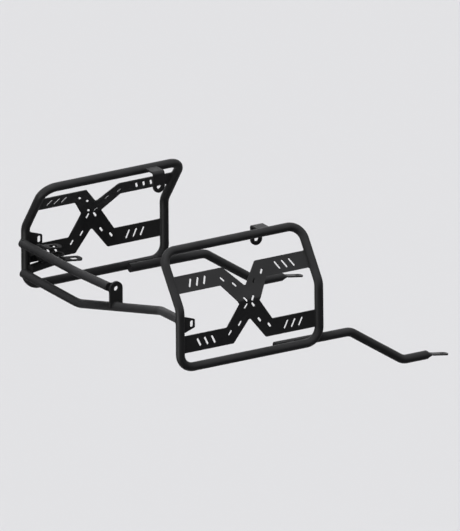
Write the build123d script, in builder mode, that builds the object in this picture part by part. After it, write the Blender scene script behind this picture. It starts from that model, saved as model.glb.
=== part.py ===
from build123d import *
import os
from math import atan2, cos, degrees, radians, sin

os.makedirs("parts", exist_ok=True)

# Pannier frame for a motorbike: two folded tube hoops, one each side of the tail, joined by bent
# tubes at the rear. X points forward, Y to the rider's left and Z up, in millimetres and degrees.
# The origin is the centre of the bolt hole in the centre tab, on the bike's middle plane.

# Tube stock and sheet stock
tube_d = 18.0
tube_wall = 1.5
plate_t = 2.0
strap_t = 3.0
bracket_t = 4.0
tab_t = 5.0
fit_gap = 0.1

# Hoops, measured between tube axes
hoop_length = 322.0
hoop_spacing = 596.0
lower_height = 123.0
upper_length = 123.0
lean = 35.0
lower_corner_r = 30.0
upper_corner_r = 30.0
bend_r = 30.0
vent_d = 5.0

# Place of the hoops, seen from the hole in the centre tab
hole_ahead = 30.0
hole_above = 77.0

# X plates: cut pattern measured from the middle of the X, along the sheet
arm_inner = 44.5
arm_outer = 80.5
elbow_inner = 53.0
elbow_outer = 37.5
waist_half = 23.0
notch = 33.5
plate_corner_r = 4.0
plate_fold_r = 5.0
dash_length = 11.5
dash_width = 4.3
dash_places = ((8.5, 7.0), (22.7, 41.2), (45.5, 56.5))
slash_length = 19.0
slash_width = 4.3
slash_tilt = 26.0
slash_pitch = 16.7
slash_middle = 101.0

# Place of the X plates: the sheet's fold above the hoop's fold, the middle of the X above the sheet's fold
right_fold_rise = -6.0
left_fold_rise = 5.0
right_x_rise = -5.3
left_x_rise = 0.0
right_x_ahead = 0.0
left_x_ahead = -8.5

# Strap tabs on the rear uprights, measured from the upright's axis
strap_reach = 36.0
strap_base = 36.0
strap_tip = 17.5
right_strap_height = 89.5
left_strap_height = 95.0
strap_inset = 4.0
strap_slot_length = 14.0
strap_slot_width = 7.5
strap_slot_inset = 7.5
strap_corner_r = 3.0

# Top brackets, measured from the axis of the top tube and of the rear upright
bracket_width = 26.0
bracket_reach = 39.7
bracket_drop = 27.0
bracket_rise = 2.5
bracket_ahead = 244.0
bracket_hole_d = 10.5
bracket_bend_r = 4.5

# Front arms: run beside the lower tube, ahead of the front upright, down the slope and level again
arm_lap = 92.0
arm_fall = 1.5
arm_first_run = 82.0
arm_slope_run = 122.0
arm_slope_drop = 82.0
arm_last_run = 55.0

# Flattened tube ends
flat_t = 2.8
flat_taper = 12.0
front_flat_width = 14.5
front_flat_length = 38.0
front_flat_tilt = 9.0
front_flat_roll = 0.0
front_slot_length = 14.0
front_slot_width = 6.5
front_slot_inset = 12.0
rear_flat_width = 17.5
rear_flat_tilt = 7.0
rear_flat_roll = 11.0
rear_slot_length = 18.0
rear_slot_width = 10.0
rear_slot_inset = 18.5

# Rear crossbar: heights above the lower tube's axis, and how far out its two bends are
crossbar_left_height = 29.0
crossbar_right_height = 103.0
left_bend_out = 145.0
left_bend_height = 2.6
right_bend_out = 175.0
right_bend_height = 81.2
rear_bend_r = 60.0
saddle_offset = 7.0

# Upper brace: height on the left upright, and the places of its bend and of its end at the tab
brace_height = 91.0
brace_overhang = 3.0
brace_bend_height = 72.0
brace_bend_setback = 8.0
brace_end_setback = 13.8
brace_end_rise = 5.0

# Centre tab
centre_tab_width = 29.0
centre_hole_d = 10.5

# Left rear arms, stacked on each other: place of the lowest, then setback, round tube and flat of each
rear_arm_rise = 7.0
rear_arm_height = 41.0
lower_rear_arm_run = 58.0
lower_rear_flat_length = 50.0
middle_rear_arm_setback = 20.5
middle_rear_arm_run = 13.0
middle_rear_flat_length = 35.0
upper_rear_arm_setback = 4.5
upper_rear_arm_run = 24.0
upper_rear_flat_length = 36.0

# Values worked out from the sizes above
tube_r = tube_d / 2
half_y = hoop_spacing / 2
rear_x = -hole_ahead
mid_x = rear_x + hoop_length / 2
front_x = rear_x + hoop_length
bottom_z = -hole_above
fold_z = bottom_z + lower_height
top_y = half_y - upper_length * sin(radians(lean))
top_z = fold_z + upper_length * cos(radians(lean))
lap_y = half_y - tube_d - fit_gap
crossbar_fall = (right_bend_height - left_bend_height) / (left_bend_out + right_bend_out)
crossbar_mid_z = bottom_z + left_bend_height + crossbar_fall * left_bend_out
front_slot = (front_slot_length, front_slot_width, front_slot_inset)
rear_slot = (rear_slot_length, rear_slot_width, rear_slot_inset)


def tube(points, bend_radius, outer_r=tube_r, bore_r=tube_r - tube_wall):
    """Round tube along straight runs joined by bends; a bore radius of 0 gives a solid bar."""
    with BuildPart() as made:
        with BuildLine() as route:
            if len(points) == 2:
                Line(*points)
            else:
                FilletPolyline(*points, radius=bend_radius)
        with BuildSketch(Plane(route.line @ 0, z_dir=route.line % 0)):
            Circle(outer_r)
            if bore_r > 0:
                Circle(bore_r, mode=Mode.SUBTRACT)
        sweep(path=route.line)
    return made.part


def hoop_points(side):
    """Half of a hoop's axis, from the middle of the lower tube round the rear to the top tube."""
    return [
        (mid_x, side * half_y, bottom_z),
        (rear_x, side * half_y, bottom_z),
        (rear_x, side * half_y, fold_z),
        (rear_x, side * top_y, top_z),
        (mid_x, side * top_y, top_z),
    ]


hoop_radii = [lower_corner_r, bend_r, upper_corner_r]


def hoop_envelope(side):
    """Solid bar a little thicker than a hoop, which cuts the ends that are welded to it."""
    with BuildPart() as made:
        add(tube(hoop_points(side), hoop_radii, tube_r + fit_gap, 0))
        mirror(about=Plane.YZ.offset(mid_x))
    return made.part


def x_outline(plane, ahead, rise, low, high):
    """Outline of an X plate, laid on one plane and kept between two heights from the fold."""
    half = hoop_length / 2
    outline = []
    for across, up in ((1, 1), (1, -1), (-1, -1), (-1, 1)):
        corners = [
            (ahead, rise + up * notch),
            (ahead + across * elbow_outer, rise + up * arm_outer),
            (across * half, rise + up * arm_outer),
            (across * half, rise + up * arm_inner),
            (ahead + across * elbow_inner, rise + up * arm_inner),
            (ahead + across * waist_half, rise),
        ]
        outline += corners[:-1] if across * up > 0 else corners[:0:-1]
    with BuildSketch(plane) as pattern:
        with BuildLine():
            Polyline(*outline, close=True)
        make_face()
        fillet([v for v in pattern.vertices() if abs(v.X) < half - plate_corner_r], plate_corner_r)
        with Locations((0, (low + high) / 2)):
            Rectangle(hoop_length, high - low, mode=Mode.INTERSECT)
    return pattern.sketch


def x_slots(plane, ahead, rise, above_fold):
    """Slots of an X plate whose middles lie above its fold, or the ones that lie below it."""
    arm_middle = (arm_inner + arm_outer) / 2
    elbow_middle = (elbow_inner + elbow_outer) / 2
    diagonal = degrees(atan2(arm_middle, elbow_middle))
    with BuildSketch(plane) as slots:
        for across, up in ((1, 1), (1, -1), (-1, -1), (-1, 1)):
            for out, away in dash_places:
                if (rise + up * away > 0) == above_fold:
                    with Locations((ahead + across * out, rise + up * away)):
                        SlotOverall(dash_length, dash_width, across * up * diagonal)
            if (rise + up * arm_middle > 0) == above_fold:
                for step in (-1, 0, 1):
                    out = slash_middle + step * slash_pitch
                    with Locations((ahead + across * out, rise + up * arm_middle)):
                        SlotOverall(slash_length, slash_width, 90 + across * up * slash_tilt)
    return slots.sketch


def x_plate(side, fold_rise, ahead, rise, envelope):
    """Folded X plate that fills a hoop, with its four arm ends cut to the tube."""
    overlap = plate_t * 2
    low = rise - arm_outer - overlap
    high = rise + arm_outer + overlap
    fold = Vector(mid_x, side * half_y, fold_z + fold_rise)
    inward = (0, -cos(radians(lean)), -side * sin(radians(lean)))
    upright = Plane(fold, x_dir=(1, 0, 0), z_dir=(0, -1, 0))
    leaning = Plane(fold, x_dir=(1, 0, 0), z_dir=inward)
    with BuildPart() as made:
        with BuildSketch(Plane.YZ.offset(mid_x)):
            with BuildLine(mode=Mode.PRIVATE) as section:
                corner = Vector(fold.Y, fold.Z)
                end = corner + Vector(leaning.y_dir.Y, leaning.y_dir.Z) * high
                FilletPolyline(corner + Vector(0, low), corner, end, radius=plate_fold_r)
            trace(section.line, line_width=plate_t)
        extrude(amount=hoop_length / 2, both=True)
        lower = x_outline(upright, ahead, rise, low, overlap)
        upper = x_outline(leaning, ahead, rise, -overlap, high)
        cutter = extrude(lower, amount=tube_d, both=True, mode=Mode.PRIVATE)
        cutter += extrude(upper, amount=tube_d, both=True, mode=Mode.PRIVATE)
        add(cutter, mode=Mode.INTERSECT)
        extrude(x_slots(upright, ahead, rise, False), amount=overlap, both=True, mode=Mode.SUBTRACT)
        extrude(x_slots(leaning, ahead, rise, True), amount=overlap, both=True, mode=Mode.SUBTRACT)
        add(envelope, mode=Mode.SUBTRACT)
    return made.part


def strap_tab(side, height, envelope):
    """Tapered plate with an upright slot, welded to the front of a rear upright."""
    with BuildPart() as made:
        with BuildSketch(Plane.XZ.offset(-side * (half_y - strap_inset))) as face:
            z = bottom_z + height
            with BuildLine():
                Polyline(
                    (rear_x, z - strap_base / 2),
                    (rear_x + tube_r, z - strap_base / 2),
                    (rear_x + strap_reach, z - strap_tip / 2),
                    (rear_x + strap_reach, z + strap_tip / 2),
                    (rear_x + tube_r, z + strap_base / 2),
                    (rear_x, z + strap_base / 2),
                    close=True,
                )
            make_face()
            fillet(face.vertices().group_by(Axis.X)[-1], strap_corner_r)
            with Locations((rear_x + strap_reach - strap_slot_inset, z)):
                SlotOverall(strap_slot_length, strap_slot_width, 90, mode=Mode.SUBTRACT)
        extrude(amount=strap_t / 2, both=True)
        add(envelope, mode=Mode.SUBTRACT)
    return made.part


def top_bracket(side, envelope):
    """Strip bent down from a top tube, with a round end and a bolt hole across the bike."""
    tongue_y = side * (top_y - bracket_reach)
    flange_z = top_z + bracket_rise
    hole_z = top_z - bracket_drop
    x = rear_x + bracket_ahead
    with BuildPart() as made:
        with BuildSketch(Plane.YZ.offset(x)):
            with BuildLine(mode=Mode.PRIVATE) as section:
                FilletPolyline(
                    (side * top_y, flange_z),
                    (tongue_y, flange_z),
                    (tongue_y, hole_z - bracket_width),
                    radius=bracket_bend_r,
                )
            trace(section.line, line_width=bracket_t)
        extrude(amount=bracket_width / 2, both=True)
        with BuildSketch(Plane.XZ):
            with Locations((x, hole_z)):
                Circle(bracket_width / 2)
                height = flange_z + bracket_t - hole_z
                Rectangle(bracket_width, height, align=(Align.CENTER, Align.MIN))
                Circle(bracket_hole_d / 2, mode=Mode.SUBTRACT)
        extrude(amount=-side * half_y, mode=Mode.INTERSECT)
        add(envelope, mode=Mode.SUBTRACT)
    return made.part


def flat_ended_tube(points, width, length, tilt, roll, slot):
    """Tube along points in one upright plane, whose far end is pressed flat, turned and slotted."""
    slot_length, slot_width, slot_inset = slot
    end = Vector(*points[-1])
    heading = (end - Vector(*points[-2])).normalized()
    flat = Vector(cos(radians(tilt)), 0, -sin(radians(tilt)))
    across = Vector(0, 1, 0).rotate(Axis((0, 0, 0), flat), roll)
    round_across = Vector(0, 1, 0).rotate(Axis((0, 0, 0), heading), roll)
    root = end + (heading + flat) * (flat_taper / 2)
    straight = length - width / 2
    with BuildPart() as made:
        add(tube(points, bend_r))
        with BuildSketch(Plane(end, x_dir=round_across, z_dir=heading)):
            Circle(tube_r)
        with BuildSketch(Plane(root, x_dir=across, z_dir=flat)):
            Ellipse(width / 2, flat_t / 2)
        loft()
        with BuildSketch(Plane(root, x_dir=flat, z_dir=flat.cross(across))):
            with Locations((straight / 2, 0)):
                Rectangle(straight, width)
            with Locations((straight, 0)):
                Circle(width / 2)
            with Locations((length - slot_inset, 0)):
                SlotOverall(slot_length, slot_width, mode=Mode.SUBTRACT)
        extrude(amount=flat_t / 2, both=True)
    return made.part


def front_arm(side):
    """Front arm, from its lap beside the lower tube to its level slotted end."""
    y = side * lap_y
    slope_x = front_x + arm_first_run
    level_x = slope_x + arm_slope_run
    slope_z = bottom_z - arm_fall
    points = [
        (front_x - arm_lap, y, bottom_z),
        (slope_x, y, slope_z),
        (level_x, y, slope_z - arm_slope_drop),
        (level_x + arm_last_run, y, slope_z - arm_slope_drop),
    ]
    return flat_ended_tube(
        points, front_flat_width, front_flat_length, front_flat_tilt, front_flat_roll, front_slot
    )


def rear_arm(level, setback, run, length):
    """Left rear arm; the arms lie on each other beside the rear upright, counted from the lowest."""
    rise = radians(rear_arm_rise)
    along = Vector(cos(rise), 0, sin(rise))
    stacked = Vector(-sin(rise), 0, cos(rise)) * (tube_d + fit_gap) * level
    start = Vector(rear_x, lap_y, bottom_z + rear_arm_height) + stacked + along * setback
    points = [tuple(start), tuple(start + along * run)]
    return flat_ended_tube(points, rear_flat_width, length, rear_flat_tilt, rear_flat_roll, rear_slot)


crossbar_points = [
    (rear_x - saddle_offset, half_y, bottom_z + crossbar_left_height),
    (0, left_bend_out, bottom_z + left_bend_height),
    (0, -right_bend_out, bottom_z + right_bend_height),
    (rear_x, -half_y + tube_wall, bottom_z + crossbar_right_height),
]
brace_points = [
    (rear_x - saddle_offset, half_y + brace_overhang, bottom_z + brace_height),
    (-brace_bend_setback, left_bend_out, bottom_z + brace_bend_height),
    (-brace_end_setback, -tab_t, brace_end_rise),
]
envelopes = {side: hoop_envelope(side) for side in (-1, 1)}
crossbar_envelope = tube(crossbar_points, rear_bend_r, tube_r + fit_gap, 0)
brace_envelope = tube(brace_points, rear_bend_r, tube_r + fit_gap, 0)

# Right hoop: one tube bent round a folded rectangle, with a vent under the lower tube
with BuildPart() as right_hoop:
    add(tube(hoop_points(-1), hoop_radii))
    mirror(about=Plane.YZ.offset(mid_x))
    with Locations((mid_x, -half_y, bottom_z - tube_r)):
        Cylinder(vent_d / 2, tube_d, mode=Mode.SUBTRACT)
right_hoop.part.label = "right_hoop"
export_step(right_hoop.part, "parts/right_hoop.step")

# Left hoop: the right one mirrored in the bike's middle plane
with BuildPart() as left_hoop:
    add(right_hoop.part.mirror(Plane.XZ))
left_hoop.part.label = "left_hoop"
export_step(left_hoop.part, "parts/left_hoop.step")

# X plates: laser-cut sheet folded on the same line as the hoop it fills
with BuildPart() as right_x_plate:
    add(x_plate(-1, right_fold_rise, right_x_ahead, right_x_rise, envelopes[-1]))
right_x_plate.part.label = "right_x_plate"
export_step(right_x_plate.part, "parts/right_x_plate.step")

with BuildPart() as left_x_plate:
    add(x_plate(1, left_fold_rise, left_x_ahead, left_x_rise, envelopes[1]))
left_x_plate.part.label = "left_x_plate"
export_step(left_x_plate.part, "parts/left_x_plate.step")

# Strap tabs: slotted plates on the rear uprights
with BuildPart() as right_strap_tab:
    add(strap_tab(-1, right_strap_height, envelopes[-1]))
right_strap_tab.part.label = "right_strap_tab"
export_step(right_strap_tab.part, "parts/right_strap_tab.step")

with BuildPart() as left_strap_tab:
    add(strap_tab(1, left_strap_height, envelopes[1]))
left_strap_tab.part.label = "left_strap_tab"
export_step(left_strap_tab.part, "parts/left_strap_tab.step")

# Top brackets: bent strips that bolt to the tail from outside
with BuildPart() as right_top_bracket:
    add(top_bracket(-1, envelopes[-1]))
right_top_bracket.part.label = "right_top_bracket"
export_step(right_top_bracket.part, "parts/right_top_bracket.step")

with BuildPart() as left_top_bracket:
    add(top_bracket(1, envelopes[1]))
left_top_bracket.part.label = "left_top_bracket"
export_step(left_top_bracket.part, "parts/left_top_bracket.step")

# Front arms: tubes laid beside the lower tubes and cranked down to slotted flats
with BuildPart() as right_front_arm:
    add(front_arm(-1))
right_front_arm.part.label = "right_front_arm"
export_step(right_front_arm.part, "parts/right_front_arm.step")

with BuildPart() as left_front_arm:
    add(front_arm(1))
left_front_arm.part.label = "left_front_arm"
export_step(left_front_arm.part, "parts/left_front_arm.step")

# Rear crossbar: tube saddled on the left rear upright and butted on the right one
with BuildPart() as rear_crossbar:
    add(tube(crossbar_points, rear_bend_r))
    for envelope in envelopes.values():
        add(envelope, mode=Mode.SUBTRACT)
    tab_face = half_y - strap_inset - strap_t / 2 - fit_gap
    with BuildSketch(Plane.XZ.offset(tab_face)):
        with Locations((rear_x, bottom_z + crossbar_right_height)):
            Rectangle(tube_d * 2, tube_d * 3, align=(Align.MIN, Align.CENTER))
    extrude(amount=tube_d, mode=Mode.SUBTRACT)
rear_crossbar.part.label = "rear_crossbar"
export_step(rear_crossbar.part, "parts/rear_crossbar.step")

# Upper brace: tube from the left rear upright to the left face of the centre tab
with BuildPart() as upper_brace:
    add(tube(brace_points, rear_bend_r))
    add(envelopes[1], mode=Mode.SUBTRACT)
    split(bisect_by=Plane.XZ.offset(-tab_t / 2 - fit_gap), keep=Keep.BOTTOM)
upper_brace.part.label = "upper_brace"
export_step(upper_brace.part, "parts/upper_brace.step")

# Centre tab: round-topped plate standing on the crossbar
with BuildPart() as centre_mount_tab:
    with BuildSketch(Plane.XZ):
        Circle(centre_tab_width / 2)
        with Locations((0, crossbar_mid_z / 2)):
            Rectangle(centre_tab_width, -crossbar_mid_z)
        Circle(centre_hole_d / 2, mode=Mode.SUBTRACT)
    extrude(amount=tab_t / 2, both=True)
    add(crossbar_envelope, mode=Mode.SUBTRACT)
centre_mount_tab.part.label = "centre_mount_tab"
export_step(centre_mount_tab.part, "parts/centre_mount_tab.step")

# Left rear arms: short tubes welded on each other inside the left hoop, with slotted flats
with BuildPart() as left_lower_rear_arm:
    add(rear_arm(0, 0, lower_rear_arm_run, lower_rear_flat_length))
    add(crossbar_envelope, mode=Mode.SUBTRACT)
left_lower_rear_arm.part.label = "left_lower_rear_arm"
export_step(left_lower_rear_arm.part, "parts/left_lower_rear_arm.step")

with BuildPart() as left_middle_rear_arm:
    add(rear_arm(1, middle_rear_arm_setback, middle_rear_arm_run, middle_rear_flat_length))
left_middle_rear_arm.part.label = "left_middle_rear_arm"
export_step(left_middle_rear_arm.part, "parts/left_middle_rear_arm.step")

with BuildPart() as left_upper_rear_arm:
    add(rear_arm(2, upper_rear_arm_setback, upper_rear_arm_run, upper_rear_flat_length))
    add(brace_envelope, mode=Mode.SUBTRACT)
left_upper_rear_arm.part.label = "left_upper_rear_arm"
export_step(left_upper_rear_arm.part, "parts/left_upper_rear_arm.step")
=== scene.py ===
# %% [markdown]
# Pannier frame in black powder coat. The construction comes in as a fixed frame: every tube, plate
# and tab is already in its place, in metres. This lesson gives it its finish, adds the weld beads
# that join the pieces and the discs that close the open tube ends, and sets up the camera, the floor
# and the light.

# %% Load the frame
from math import cos, pi, radians, sin

import bmesh
import bpy
from mathutils import Matrix, Vector
from mathutils.bvhtree import BVHTree


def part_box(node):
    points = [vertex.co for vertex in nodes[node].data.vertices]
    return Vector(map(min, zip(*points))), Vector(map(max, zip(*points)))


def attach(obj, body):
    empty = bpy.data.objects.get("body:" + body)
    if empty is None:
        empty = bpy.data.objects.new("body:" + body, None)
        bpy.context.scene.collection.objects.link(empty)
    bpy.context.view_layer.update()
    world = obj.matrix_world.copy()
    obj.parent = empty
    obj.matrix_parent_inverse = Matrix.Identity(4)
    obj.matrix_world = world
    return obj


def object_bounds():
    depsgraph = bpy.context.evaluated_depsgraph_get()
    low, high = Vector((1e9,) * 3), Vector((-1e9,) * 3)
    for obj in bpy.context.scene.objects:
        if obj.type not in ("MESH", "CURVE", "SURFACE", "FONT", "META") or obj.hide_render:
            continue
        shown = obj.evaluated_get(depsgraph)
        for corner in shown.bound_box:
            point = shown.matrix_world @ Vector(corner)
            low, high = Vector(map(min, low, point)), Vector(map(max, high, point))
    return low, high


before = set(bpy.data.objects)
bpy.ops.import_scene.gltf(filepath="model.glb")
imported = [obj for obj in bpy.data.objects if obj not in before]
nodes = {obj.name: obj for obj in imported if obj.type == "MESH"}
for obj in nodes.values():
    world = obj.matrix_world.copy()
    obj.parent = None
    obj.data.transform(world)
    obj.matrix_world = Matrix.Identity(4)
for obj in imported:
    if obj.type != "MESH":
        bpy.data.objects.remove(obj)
cad_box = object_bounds()
mm = 0.001
print("nodes", len(nodes), "box", [tuple(round(v, 4) for v in corner) for corner in cad_box])

# %% [markdown]
# The photograph has no vanishing points: edges that are parallel on the frame are parallel in the
# picture. A camera could be set far away with a long lens, but an orthographic camera does the same
# exactly. Its scale is a plain number of pixels for each metre, and one point of the frame is pinned
# to one pixel, so the whole picture lands where the photograph has it.

# %% Camera
image_width, image_height = 460, 531
pixels_per_metre = 502.8
azimuth, elevation, roll = radians(-30.9), radians(19.2), radians(0.5)
pinned_point = Vector((-30, 0, -77)) * mm
pinned_pixel = (103.2, 327.5)
camera_distance = 4.0

back = Vector((sin(azimuth) * cos(elevation), -cos(azimuth) * cos(elevation), sin(elevation)))
level = Vector((cos(azimuth), sin(azimuth), 0))
right = level * cos(roll) - back.cross(level) * sin(roll)
up = back.cross(right)
to_centre = right * (image_width / 2 - pinned_pixel[0]) + up * (pinned_pixel[1] - image_height / 2)
camera_data = bpy.data.cameras.new("camera")
camera_data.type = "ORTHO"
camera_data.ortho_scale = image_height / pixels_per_metre
camera = bpy.data.objects.new("camera", camera_data)
bpy.context.collection.objects.link(camera)
camera.matrix_world = Matrix.Translation(
    pinned_point + to_centre / pixels_per_metre + back * camera_distance
) @ Matrix((right, up, back)).transposed().to_4x4()
bpy.context.scene.camera = camera
print("camera sees", round(camera_data.ortho_scale, 3), "m from top to bottom")

# %% [markdown]
# Colours are written as the hex values that a paint chart or a colour picker gives. Blender works with
# linear light, so one function converts them. A second small function adds a node to a material or to
# the sky, sets its values and links its inputs, which keeps each node tree down to a few lines.

# %% Helpers for materials


def linear(hex_colour):
    """sRGB hex to linear RGBA."""
    parts = [int(hex_colour[i:i + 2], 16) / 255 for i in (1, 3, 5)]
    return [p / 12.92 if p <= 0.04045 else ((p + 0.055) / 1.055) ** 2.4 for p in parts] + [1]


def add_node(tree, kind, inputs=None, **settings):
    """Adds a node, sets its properties and fills or links its inputs."""
    node = tree.nodes.new(kind)
    for name, value in settings.items():
        setattr(node, name, value)
    for name, value in (inputs or {}).items():
        if isinstance(value, bpy.types.NodeSocket):
            tree.links.new(value, node.inputs[name])
        else:
            node.inputs[name].default_value = value
    return node


def new_material(name):
    """Node material with an empty tree, and that tree."""
    material = bpy.data.materials.new(name)
    material.use_nodes = True
    material.node_tree.nodes.clear()
    return material, material.node_tree


print("the grey #808080 is", round(linear("#808080")[0], 3), "in linear light")

# %% [markdown]
# Powder coat is a dry polyester powder that is sprayed on charged steel and baked. It melts into one
# even skin over tube, plate and weld alike, so the whole frame has the same black. The matte kind has
# almost no mirror reflection. Plain diffuse light shapes the tubes, so the specular level is low, and a
# middling roughness spreads the little gloss that is left into soft lines. The skin isn't flat: it dries
# with a fine pebbled texture. A real pebble is about half a millimetre, too fine for a picture of two
# millimetres to a pixel, so it is drawn at three millimetres. A slow cloud of tone stands for the uneven
# thickness of the skin. Blender's noise seldom leaves its middle range, so that range is stretched.

# %% Powder-coated steel
pebble = 3 * mm
pebble_height = 0.4 * mm
cloud = 45 * mm
noise_low, noise_high = 0.3, 0.7
roughness_low, roughness_high = 0.50, 0.58
coat, tree = new_material("matte_black_powder_coat")
place = add_node(tree, "ShaderNodeTexCoord").outputs["Object"]
pebbles = add_node(tree, "ShaderNodeTexNoise", {"Vector": place, "Scale": 1 / pebble, "Detail": 3.0})
clouds = add_node(tree, "ShaderNodeTexNoise", {"Vector": place, "Scale": 1 / cloud, "Detail": 2.0})
tone = add_node(tree, "ShaderNodeMapRange", {
    "Value": clouds.outputs["Fac"], "From Min": noise_low, "From Max": noise_high,
})
colour = add_node(tree, "ShaderNodeMix", {
    "Factor": tone.outputs["Result"], "A": linear("#3b3b3c"), "B": linear("#414142"),
}, data_type="RGBA")
roughness = add_node(tree, "ShaderNodeMapRange", {
    "Value": pebbles.outputs["Fac"], "From Min": noise_low, "From Max": noise_high,
    "To Min": roughness_low, "To Max": roughness_high,
})
bump = add_node(tree, "ShaderNodeBump", {
    "Height": pebbles.outputs["Fac"], "Strength": 0.8, "Distance": pebble_height,
})
shader = add_node(tree, "ShaderNodeBsdfPrincipled", {
    "Base Color": colour.outputs["Result"], "Roughness": roughness.outputs["Result"],
    "Normal": bump.outputs["Normal"], "Specular IOR Level": 0.04,
})
add_node(tree, "ShaderNodeOutputMaterial", {"Surface": shader.outputs["BSDF"]})
for node in nodes.values():
    node.data.materials.clear()
    node.data.materials.append(coat)
print("powder coat on", len(nodes), "nodes")

# %% [markdown]
# Every joint of the frame is welded. A weld is a bead of molten wire that runs round the foot of a plate
# or a tube and sets in small overlapping ripples, and the powder coat covers it like the rest. A bead
# could be a bevelled curve drawn by hand, but it has to follow the saddle line where a piece meets a
# round tube. That line is in the construction already: it is the outline of the faces that lie a hair
# from the next piece. So it is read from the meshes. The construction itself isn't touched. The reading
# is done on copies whose faces are joined along their edges, and a search tree for each copy finds the
# nearest surface quickly.

# %% Copies to measure on
join_distance = 0.005 * mm


def joined_copy(node):
    """Copy of a node's mesh with its faces joined along their edges."""
    copy = bmesh.new()
    copy.from_mesh(node.data)
    bmesh.ops.remove_doubles(copy, verts=copy.verts, dist=join_distance)
    copy.normal_update()
    return copy


copies = {name: joined_copy(node) for name, node in nodes.items()}
surfaces = {name: BVHTree.FromBMesh(copy) for name, copy in copies.items()}
print("copies with", sum(len(copy.faces) for copy in copies.values()), "faces")

# %% [markdown]
# A set of chosen faces has an outline: the edges with a chosen face on one side only. Those edges come
# in no order, so a walk goes from edge to edge until it is back where it started. In Blender's editor
# one would click an edge loop for that, but loops need four-sided faces, and these meshes are all
# triangles. The centre tab serves as a test: one side of it has the line round the tab and the line
# round its bolt hole.

# %% Lines round a set of faces
side_limit = 0.9


def outline(piece, chosen):
    """Edges of a piece between a chosen face and one that isn't."""
    return [edge for edge in copies[piece].edges if sum(face in chosen for face in edge.link_faces) == 1]


def line_length(line):
    """Length of a closed line."""
    return sum((b - a).length for a, b in zip(line, line[1:] + line[:1]))


def closed_lines(rim):
    """Walks along the edges of a rim and gives its closed lines, the longest first."""
    unused, lines = set(rim), []
    for edge in rim:
        if edge not in unused:
            continue
        unused.remove(edge)
        walk = list(edge.verts)
        while walk[-1] != walk[0]:
            onward = [e for e in walk[-1].link_edges if e in unused]
            if not onward:
                break
            unused.remove(onward[0])
            walk.append(onward[0].other_vert(walk[-1]))
        lines.append([vert.co.copy() for vert in walk[:-1]])
    return sorted(lines, key=line_length, reverse=True)


tab_side = {face for face in copies["centre_mount_tab"].faces if face.normal.y > side_limit}
tab_lines = closed_lines(outline("centre_mount_tab", tab_side))
print("lines on the side of the tab", [round(line_length(line) / mm) for line in tab_lines], "mm")

# %% [markdown]
# A face of a piece sits on its carrier if its corners are within a hair of the carrier's surface and it
# faces into that surface. The outline of those faces is the line to weld, one closed line for each place
# where the piece sits. A tube that ends on its carrier gives a second, shorter line round its bore, which
# no torch reaches. So of two lines round the same middle only the longer one is kept.

# %% Find the lines to weld
weld_reach = 0.45 * mm
facing_limit = -0.7
tube_diameter = 18 * mm
same_middle = tube_diameter / 3


def sits(face, surface):
    """True if a face lies on the surface and faces into it."""
    normal = surface.find_nearest(face.calc_center_median())[1]
    near = all(surface.find_nearest(v.co)[3] < weld_reach for v in face.verts)
    return near and normal.dot(face.normal) < facing_limit


def middle(line):
    """Mean of the points of a line."""
    return sum(line, Vector()) / len(line)


def weld_lines(piece, carrier):
    """Closed outlines of the places where a piece sits on its carrier, without the bores inside them."""
    seated = {face for face in copies[piece].faces if sits(face, surfaces[carrier])}
    kept = []
    for line in closed_lines(outline(piece, seated)):
        if all((middle(line) - middle(other)).length > same_middle for other in kept):
            kept.append(line)
    return kept


feet = {
    "right_x_plate": ["right_hoop"], "left_x_plate": ["left_hoop"],
    "right_strap_tab": ["right_hoop"], "left_strap_tab": ["left_hoop"],
    "right_top_bracket": ["right_hoop"], "left_top_bracket": ["left_hoop"],
    "rear_crossbar": ["right_hoop", "left_hoop"],
    "upper_brace": ["left_hoop", "centre_mount_tab"],
    "centre_mount_tab": ["rear_crossbar"],
    "left_lower_rear_arm": ["rear_crossbar"],
    "left_upper_rear_arm": ["upper_brace"],
}
lines = {
    piece: [(line, carrier) for carrier in carriers for line in weld_lines(piece, carrier)]
    for piece, carriers in feet.items()
}
for piece, found in lines.items():
    print(piece, [round(line_length(line) / mm) for line, carrier in found], "mm to weld")

# %% [markdown]
# A line from a mesh has long and short edges and hard corners, and molten metal has neither. So new
# points are set along the line at even steps. Then each point of a closed line is drawn towards its two
# neighbours, a few times over, which rounds the corners. A curve with smooth handles could do the same,
# but its handles would have to be tuned for each line.

# %% Even steps along a line
bead_step = 0.5 * mm
fewest_steps = 8
rounding_passes = 6
tiny = 1e-9


def even_points(line, closed):
    """Points at even steps along a line, with the corners of a closed one rounded."""
    path = line + line[:1] if closed else line
    spans = list(zip(path, path[1:]))
    total = sum((b - a).length for a, b in spans)
    count = max(round(total / bead_step), fewest_steps)
    points, passed, i = [], 0.0, 0
    for k in range(count if closed else count + 1):
        goal = total * k / count
        while i < len(spans) - 1 and passed + (spans[i][1] - spans[i][0]).length < goal:
            passed += (spans[i][1] - spans[i][0]).length
            i += 1
        a, b = spans[i]
        points.append(a.lerp(b, (goal - passed) / max((b - a).length, tiny)))
    for _ in range(rounding_passes if closed else 0):
        points = [(points[k - 1] + 2 * p + points[(k + 1) % count]) / 4 for k, p in enumerate(points)]
    return points


crossbar_line = lines["rear_crossbar"][0][0]
print("steps round an end of the crossbar", len(even_points(crossbar_line, closed=True)))

# %% [markdown]
# The bead itself is a ring of points that travels along its line. At each step the ring stands square to
# the line, with one of its axes along the normal of the carrier, so it never twists. The radius swells
# and shrinks every two millimetres, and the swelling lags behind at the sides: that gives the curved
# ripples of a weld that was made drop by drop. A bead with two ends tapers towards them.

# %% Weld bead
bead_radius = 1.7 * mm
ripple_pitch = 2.0 * mm
ripple_depth = 0.13
side_lag = 0.4
end_share = 0.3
ring_points = 10


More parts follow.
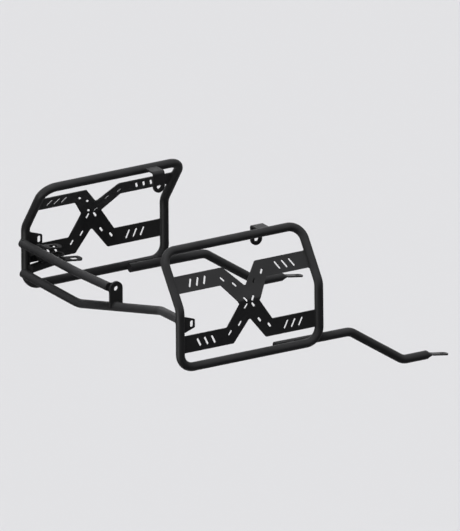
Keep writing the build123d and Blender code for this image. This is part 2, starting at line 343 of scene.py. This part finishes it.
def add_ring(shape, point, along, normal, radius, phase):
    """Ring of points square to the line, at the given phase of the ripple."""
    normal = (normal - along * normal.dot(along)).normalized()
    side = along.cross(normal)
    ring = []
    for j in range(ring_points):
        turn = 2 * pi * j / ring_points
        ripple = abs(cos(pi * (phase + side_lag * sin(turn) ** 2)))
        reach = radius * (1 - ripple_depth + ripple_depth * ripple)
        ring.append(shape.verts.new(point + (normal * cos(turn) + side * sin(turn)) * reach))
    return ring


def add_bead(shape, line, outward, radius, closed=True):
    """Sweeps a rippled ring along a line; outward gives the carrier's normal at a point."""
    points = even_points(line, closed)
    count, rings = len(points), []
    ripples = round(count * bead_step / ripple_pitch)
    for k, point in enumerate(points):
        ahead = points[(k + 1) % count] if closed else points[min(k + 1, count - 1)]
        behind = points[k - 1] if closed else points[max(k - 1, 0)]
        along = (ahead - behind).normalized()
        from_end = 1.0 if closed else min(k, count - 1 - k) * bead_step / radius
        swell = radius * min(1.0, end_share + (1 - end_share) * from_end)
        rings.append(add_ring(shape, point, along, outward(point), swell, ripples * k / count))
    pairs = zip(rings, rings[1:] + rings[:1]) if closed else zip(rings, rings[1:])
    for one, two in pairs:
        for j in range(ring_points):
            i = (j + 1) % ring_points
            shape.faces.new((one[j], one[i], two[i], two[j])).smooth = True
    if not closed:
        shape.faces.new(reversed(rings[0]))
        shape.faces.new(rings[-1])


beads = {piece: bmesh.new() for piece in lines}
for piece, found in lines.items():
    for line, carrier in found:
        add_bead(beads[piece], line, lambda p: surfaces[carrier].find_nearest(p)[1], bead_radius)
print("beads on", len(beads), "pieces")

# %% [markdown]
# Two tubes that lie side by side touch along a line that no torch reaches. They are welded in the two
# valleys beside that line, with short stitches, so that the heat doesn't warp the tubes. A stitch fills
# its valley, so it is fatter than the other beads. Each front arm lies on the inside of a lower tube of
# a hoop, and has its stitches above and below.

# %% Stitches on the front arms
stitch_radius = 2.8 * mm
valley_height = 7.1 * mm
tube_pitch = 18.1 * mm
arm_stitches = ((2, 24), (40, 62))


def add_stitches(piece, start, end, opening):
    """Two straight beads from start to end, in the valleys that open along a direction and against it."""
    beads.setdefault(piece, bmesh.new())
    for normal in (opening, -opening):
        ends = [point + normal * valley_height for point in (start, end)]
        add_bead(beads[piece], ends, lambda p: normal, stitch_radius, closed=False)


for side, turn in (("right", -1), ("left", 1)):
    arm_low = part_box(f"{side}_front_arm")[0]
    hoop_low, hoop_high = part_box(f"{side}_hoop")
    hoop_y = hoop_low.y + tube_diameter / 2 if turn < 0 else hoop_high.y - tube_diameter / 2
    level_z = hoop_low.z + tube_diameter / 2
    for stretch in arm_stitches:
        ends = [Vector((arm_low.x + x * mm, hoop_y - turn * tube_pitch / 2, level_z)) for x in stretch]
        add_stitches(f"{side}_front_arm", *ends, Vector((0, 0, 1)))
print("stitches", arm_stitches, "mm along each front arm")

# %% [markdown]
# The three short rear arms lie on each other like pipes in a rack and climb a little towards the front.
# A stitch between two of them is half a layer up, in the valleys on both sides of the stack.

# %% Stitches on the rear arms
rear_foot = Vector((-30, 279.9, -36)) * mm
rear_climb = radians(7)
rear_along = Vector((cos(rear_climb), 0, sin(rear_climb)))
rear_stacked = Vector((-sin(rear_climb), 0, cos(rear_climb))) * tube_pitch
rear_stitches = {"left_middle_rear_arm": (0.5, (22, 33)), "left_upper_rear_arm": (1.5, (22, 28))}
for piece, (layer, stretch) in rear_stitches.items():
    ends = [rear_foot + rear_stacked * layer + rear_along * s * mm for s in stretch]
    add_stitches(piece, *ends, Vector((0, 1, 0)))
print("stitched, with no other weld", [name for name in beads if name not in lines])

# %% [markdown]
# A tube that ends in the open would take in water, so each open mouth is closed by a small steel disc
# that is set a little inside it. A flat cylinder would do for a square mouth, but some mouths are cut to
# a saddle. So the rim of the bore is read from the mesh, as the welds were: it is the line where the
# wall of the bore stops. A face is a wall of the bore if the other wall is close in front of it. A ray
# tells that, and it starts a hair off its own face, so that it doesn't meet that one.

# %% Rims of the open mouths
bore_diameter = 15 * mm
look_reach = 1.1 * bore_diameter
hair = 0.05 * mm
rearward = Vector((-1, 0, 0))
mouths = {
    "upper_brace": Vector((0, -1, 0)),
    "right_front_arm": rearward, "left_front_arm": rearward, "left_lower_rear_arm": rearward,
    "left_middle_rear_arm": rearward, "left_upper_rear_arm": rearward,
}


def in_bore(face, surface):
    """True if the face looks at the other wall of the bore."""
    start = face.calc_center_median() + face.normal * hair
    return surface.ray_cast(start, face.normal, look_reach)[0] is not None


def mouth_rim(piece, faces_to):
    """Rim of the bore at the end of a tube that faces to the given side."""
    walls = {face for face in copies[piece].faces if in_bore(face, surfaces[piece])}
    return max(closed_lines(outline(piece, walls)), key=lambda line: middle(line).dot(faces_to))


rims = {piece: mouth_rim(piece, faces_to) for piece, faces_to in mouths.items()}
for piece, rim in rims.items():
    print(piece, "mouth", round(line_length(rim) / mm, 1), "mm round")

# %% [markdown]
# A disc takes its shape from the rim: one ring of points a hair inside the bore, a second ring behind it
# by the thickness of the disc, and a point in the middle of each. Triangles fill the two rings and a
# band joins them, so the disc is a closed solid that fits its mouth.

# %% End discs
disc_thickness = 2 * mm
disc_recess = 0.4 * mm


def end_disc(rim, faces_to):
    """Mesh of a disc that closes a mouth, a little inside its rim."""
    shape = bmesh.new()
    hub = middle(rim)
    inward = sum(((a - hub).cross(b - hub) for a, b in zip(rim, rim[1:] + rim[:1])), Vector()).normalized()
    if inward.dot(faces_to) > 0:
        inward = -inward
    rings, hubs = [], []
    for depth in (disc_recess, disc_recess + disc_thickness):
        rings.append([shape.verts.new(p + (hub - p).normalized() * hair + inward * depth) for p in rim])
        hubs.append(shape.verts.new(hub + inward * depth))
    for k in range(len(rim)):
        for ring, centre in zip(rings, hubs):
            shape.faces.new((ring[k - 1], ring[k], centre))
        shape.faces.new((rings[0][k - 1], rings[0][k], rings[1][k], rings[1][k - 1]))
    return shape


discs = {piece: end_disc(rims[piece], faces_to) for piece, faces_to in mouths.items()}
print("discs in", len(discs), "mouths")

# %% [markdown]
# Each set of beads and each disc becomes a piece of its own, named for the part that it is on. The coat
# is sprayed on after the welding, so they have the same finish.

# %% Pieces of weld and discs
shapes = {f"weld_{piece}": shape for piece, shape in beads.items()}
shapes.update({f"end_disc_{piece}": shape for piece, shape in discs.items()})
for name, shape in shapes.items():
    bmesh.ops.recalc_face_normals(shape, faces=shape.faces)
    mesh = bpy.data.meshes.new(name)
    shape.to_mesh(mesh)
    mesh.materials.append(coat)
    piece = bpy.data.objects.new(name, mesh)
    bpy.context.collection.objects.link(piece)
    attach(piece, "root")
    print(name, len(mesh.polygons), "faces")

# %% [markdown]
# The studio is a pale sheet that lies well below the frame, because the frame is a thing that is bolted
# to a bike and has no foot to stand on. Its shadow on the sheet is faint and spread. A pale sheet throws
# much light back from below, which would wash out a black finish, so the sheet is pale where it is looked
# at or mirrored, and mid grey for the light that bounces off it. One small function tells the two apart,
# and the sky uses it too.

# %% Floor
floor_drop = 0.8
floor_size = 14.0
floor_x = 0.3


def looked_at(tree):
    """1 for what the camera sees, mirrors or looks through, 0 for light that bounces."""
    ray = add_node(tree, "ShaderNodeLightPath").outputs
    seen = add_node(tree, "ShaderNodeMath", {
        0: ray["Is Camera Ray"], 1: ray["Is Glossy Ray"],
    }, operation="ADD")
    seen = add_node(tree, "ShaderNodeMath", {
        0: seen.outputs["Value"], 1: ray["Is Transmission Ray"],
    }, operation="ADD", use_clamp=True)
    return seen.outputs["Value"]


paper, tree = new_material("pale_studio_paper")
colour = add_node(tree, "ShaderNodeMix", {
    "Factor": looked_at(tree), "A": linear("#5c5c5d"), "B": linear("#dedee0"),
}, data_type="RGBA")
shader = add_node(tree, "ShaderNodeBsdfPrincipled", {
    "Base Color": colour.outputs["Result"], "Roughness": 0.9, "Specular IOR Level": 0.0,
})
add_node(tree, "ShaderNodeOutputMaterial", {"Surface": shader.outputs["BSDF"]})
bpy.ops.mesh.primitive_plane_add(size=floor_size, location=(floor_x, 0, cad_box[0].z - floor_drop))
floor = bpy.context.object
floor.name = "floor"
floor.data.materials.append(paper)
print("floor at", round(floor.location.z, 3), "m")

# %% [markdown]
# A soft sun stands almost straight above the frame. It reaches the tops of the tubes and the leaning
# halves of the plates, and leaves the upright halves almost black. That difference is what shows the fold
# in each plate. A weaker one lights the far side, which the camera doesn't see but someone who walks
# round the frame does.
#
# Upright tubes get little from above. For black things a photographer stands a tall strip light low at
# one side, which mirrors as a soft bright line along each upright. The strip is there for that line
# alone, so it lights nothing in the plain way: its visibility to diffuse rays is off, and so is that to
# the camera.

# %% Lamps
hoops_middle = Vector((0.13, 0, 0))


def add_lamp(name, kind, stands, **settings):
    """Lamp that stands on the given side of the frame and looks at it."""
    lamp = bpy.data.lights.new(name, kind)
    for key, value in settings.items():
        setattr(lamp, key, value)
    stand = bpy.data.objects.new(name, lamp)
    bpy.context.collection.objects.link(stand)
    stand.location = hoops_middle + stands
    stand.rotation_euler = stands.to_track_quat("Z", "Y").to_euler()
    print(name, "energy", lamp.energy)
    return stand


add_lamp("overhead_softbox", "SUN", Vector((-0.15, -0.03, 0.98)), energy=2.85, angle=radians(22))
add_lamp("far_side_softbox", "SUN", Vector((0.35, 0.9, 0.15)), energy=0.9, angle=radians(40))
strip = add_lamp(
    "strip_light", "AREA", Vector((-1.68, -0.35, -0.45)),
    energy=110, shape="RECTANGLE", size=0.5, size_y=1.0,
)
strip.visible_diffuse = False
strip.visible_camera = False

# %% [markdown]
# A dim even sky fills the dark sides, as the walls of a studio would. Where the sky itself is looked at,
# past the edge of the sheet, it has the tone of the sheet. Its strength is mixed by the same function as
# the sheet's colour. The plain view transform shows each colour as it is written.

# %% Sky
sky_light = 0.13
world = bpy.data.worlds.new("dim_sky")
bpy.context.scene.world = world
world.use_nodes = True
tree = world.node_tree
strength = add_node(tree, "ShaderNodeMix", {
    "Factor": looked_at(tree), "A": sky_light, "B": 1.0,
}, data_type="FLOAT")
sky = tree.nodes["Background"]
sky.inputs["Color"].default_value = linear("#e2e2e4")
tree.links.new(strength.outputs["Result"], sky.inputs["Strength"])
bpy.context.scene.view_settings.view_transform = "Standard"
print("sky gives", sky_light, "of its tone as light")
